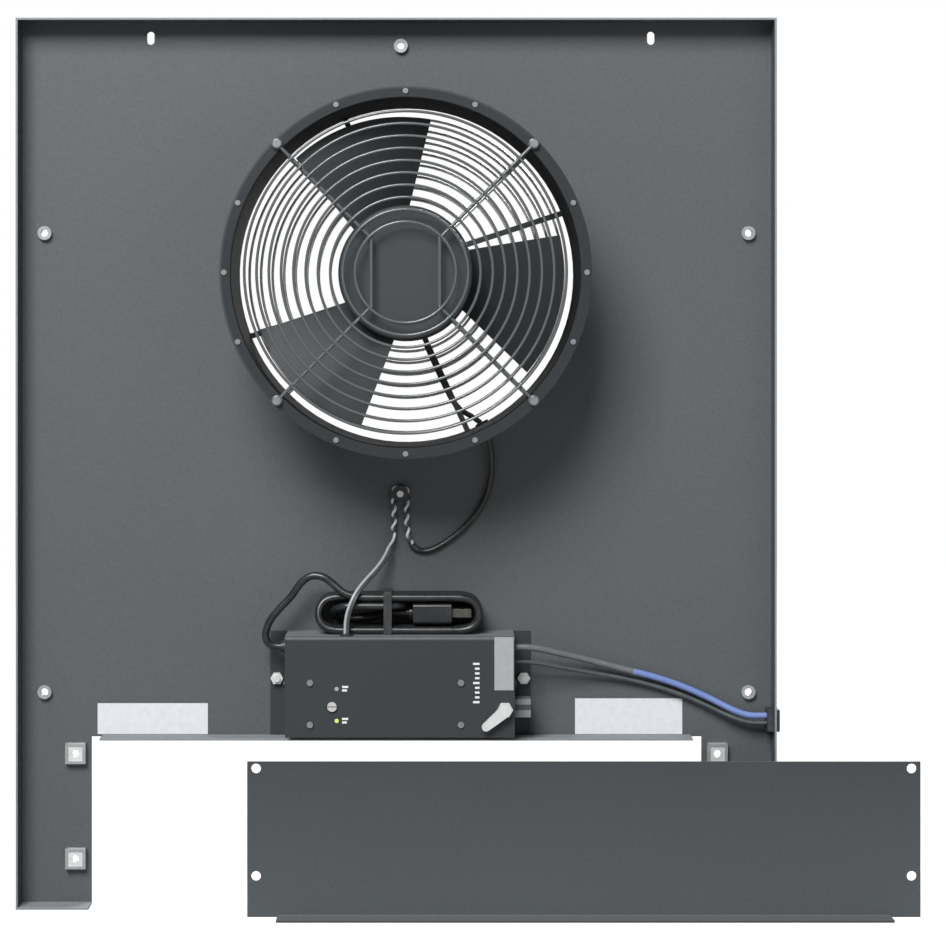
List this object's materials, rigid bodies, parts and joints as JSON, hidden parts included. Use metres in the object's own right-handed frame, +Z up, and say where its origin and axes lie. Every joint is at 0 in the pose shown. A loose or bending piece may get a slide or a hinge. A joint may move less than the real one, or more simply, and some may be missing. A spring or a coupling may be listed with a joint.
{
  "type": "rack fan tray",
  "caption": "Flanged roof tray for a server cabinet with a guarded axial fan, a thermostat controller with its tied cord, sensor leads, a cable cut-out and a loose blanking cover.",
  "frame": {"origin": "centre of the four side clinch nuts' rectangle on the tray panel's outer face", "axes": "+Z up as the tray stands, towards the edge away from the cable cut-out; +X right seen from the tray's inside; +Y out of the panel's outer face, which is the air outlet side"},
  "size_m": [0.6458, 0.0991, 0.641],
  "materials": {
    "panel_grey": "fine textured powder coat",
    "box_grey": "satin powder coat",
    "housing_black": "satin black paint",
    "guard_wire": "satin coated wire",
    "blade_metal": "satin paint on sheet",
    "motor_dark": "satin paint",
    "zinc_steel": "bright zinc plating",
    "machined_steel": "ground",
    "core_steel": "laminated",
    "copper": "enamelled wire",
    "cast_alloy": "as cast",
    "black_rubber": "matt",
    "black_nylon": "matt",
    "grey_cord": "matt",
    "blue_cord": "matt",
    "olive_cord": "matt",
    "board_green": "satin",
    "grey_plastic": "satin",
    "lens": "gloss",
    "label_white": "matt",
    "knob_plastic": "satin",
    "blue_can": "gloss",
    "brass_blades": "plated"
  },
  "bodies": {
    "tray": {"tray_panel": "panel_grey", "bearing_balls": "machined_steel", "bearing_outer_races": "machined_steel", "board_screws": "zinc_steel", "board_spacers": "machined_steel", "cable_coupler": "black_nylon", "cage_nuts": "zinc_steel", "capacitors": "blue_can", "circuit_board": "board_green", "controller_base": "box_grey", "controller_lid": "box_grey", "cord_bushings": "black_rubber", "cord_tie": "black_nylon", "ear_nuts": "zinc_steel", "ear_studs": "zinc_steel", "fan_housing": "housing_black", "fan_lead": "grey_cord", "fan_mount_screws": "zinc_steel", "fan_nuts": "zinc_steel", "flange_rivets": "zinc_steel", "front_guard": "guard_wire", "guard_screws": "zinc_steel", "lead_post": "black_nylon", "lead_post_screw": "zinc_steel", "led_lenses": "lens", "lid_screws": "housing_black", "motor_base": "cast_alloy", "motor_screws": "zinc_steel", "motor_spider": "motor_dark", "nut_cages": "zinc_steel", "outer_guard": "zinc_steel", "plug_blades": "brass_blades", "plug_body": "black_rubber", "power_cord": "black_rubber", "power_cord_hank": "black_rubber", "power_gland": "black_nylon", "rating_labels": "label_white", "relay": "grey_plastic", "selector_nut": "zinc_steel", "selector_switch": "black_nylon", "sensor_cable": "blue_cord", "sensor_sleeve": "grey_cord", "sensor_wire": "olive_cord", "side_clinch_nuts": "zinc_steel", "side_socket": "grey_plastic", "stator_core": "core_steel", "stator_windings": "copper", "terminal_block": "grey_plastic", "transformer_coil": "copper", "transformer_core": "core_steel", "trimmer_body": "black_nylon"},
    "fan_rotor": {"motor_shaft": "machined_steel", "rotor_cup": "motor_dark", "hub_cap": "motor_dark", "fan_blades": "blade_metal", "rotor_cage": "cast_alloy", "bearing_inner_races": "machined_steel"},
    "trimmer": {"trimmer_knob": "knob_plastic"},
    "selector": {"selector_lever": "zinc_steel"},
    "cover": {"cover_panel": "panel_grey"}
  },
  "joints": [
    {"name": "rotor_spin", "type": "hinge", "parent": "tray", "child": "fan_rotor", "pos_m": [0.0072, -0.05, 0.1359], "axis": [0, 1, 0], "continuous": true},
    {"name": "trimmer_turn", "type": "hinge", "parent": "tray", "child": "trimmer", "pos_m": [-0.0453, -0.043, -0.1714], "axis": [0, 1, 0], "range_deg": [-135, 135]},
    {"name": "selector_turn", "type": "hinge", "parent": "tray", "child": "selector", "pos_m": [0.0775, -0.05, -0.1737], "axis": [0, 1, 0], "range_deg": [-45, 45]},
    {"name": "cover_draw", "type": "slide", "parent": "tray", "child": "cover", "axis": [0, -1, 0], "range_m": [0, 0.15]}
  ]
}
